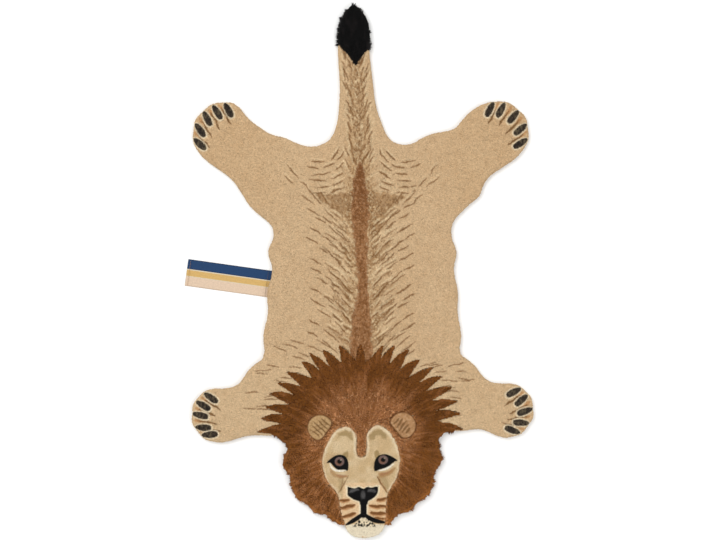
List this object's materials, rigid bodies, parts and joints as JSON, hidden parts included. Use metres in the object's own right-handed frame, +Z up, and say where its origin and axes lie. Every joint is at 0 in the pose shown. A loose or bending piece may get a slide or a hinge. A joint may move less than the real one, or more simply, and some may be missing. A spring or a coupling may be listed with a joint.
{
  "type": "lion shaped kids rug",
  "caption": "Flat tufted wool rug in the shape of a lion pelt, with a raised long-pile mane and tail tuft, a clipped face and a ribbon label sewn under one flank.",
  "frame": {"origin": "on the underside of the pelt, at the middle of its belly, on the surface that the rug lies on", "axes": "+Z up out of the pile, +Y towards the tail, +X to the right seen from above with the tail up"},
  "size_m": [0.6527, 0.9993, 0.02],
  "materials": {
    "wool_pile": "cut wool pile, matt",
    "woven_ribbon": "woven ribbon, slight sheen"
  },
  "bodies": {
    "root": {"pelt": "wool_pile", "label": "woven_ribbon"}
  },
  "joints": []
}
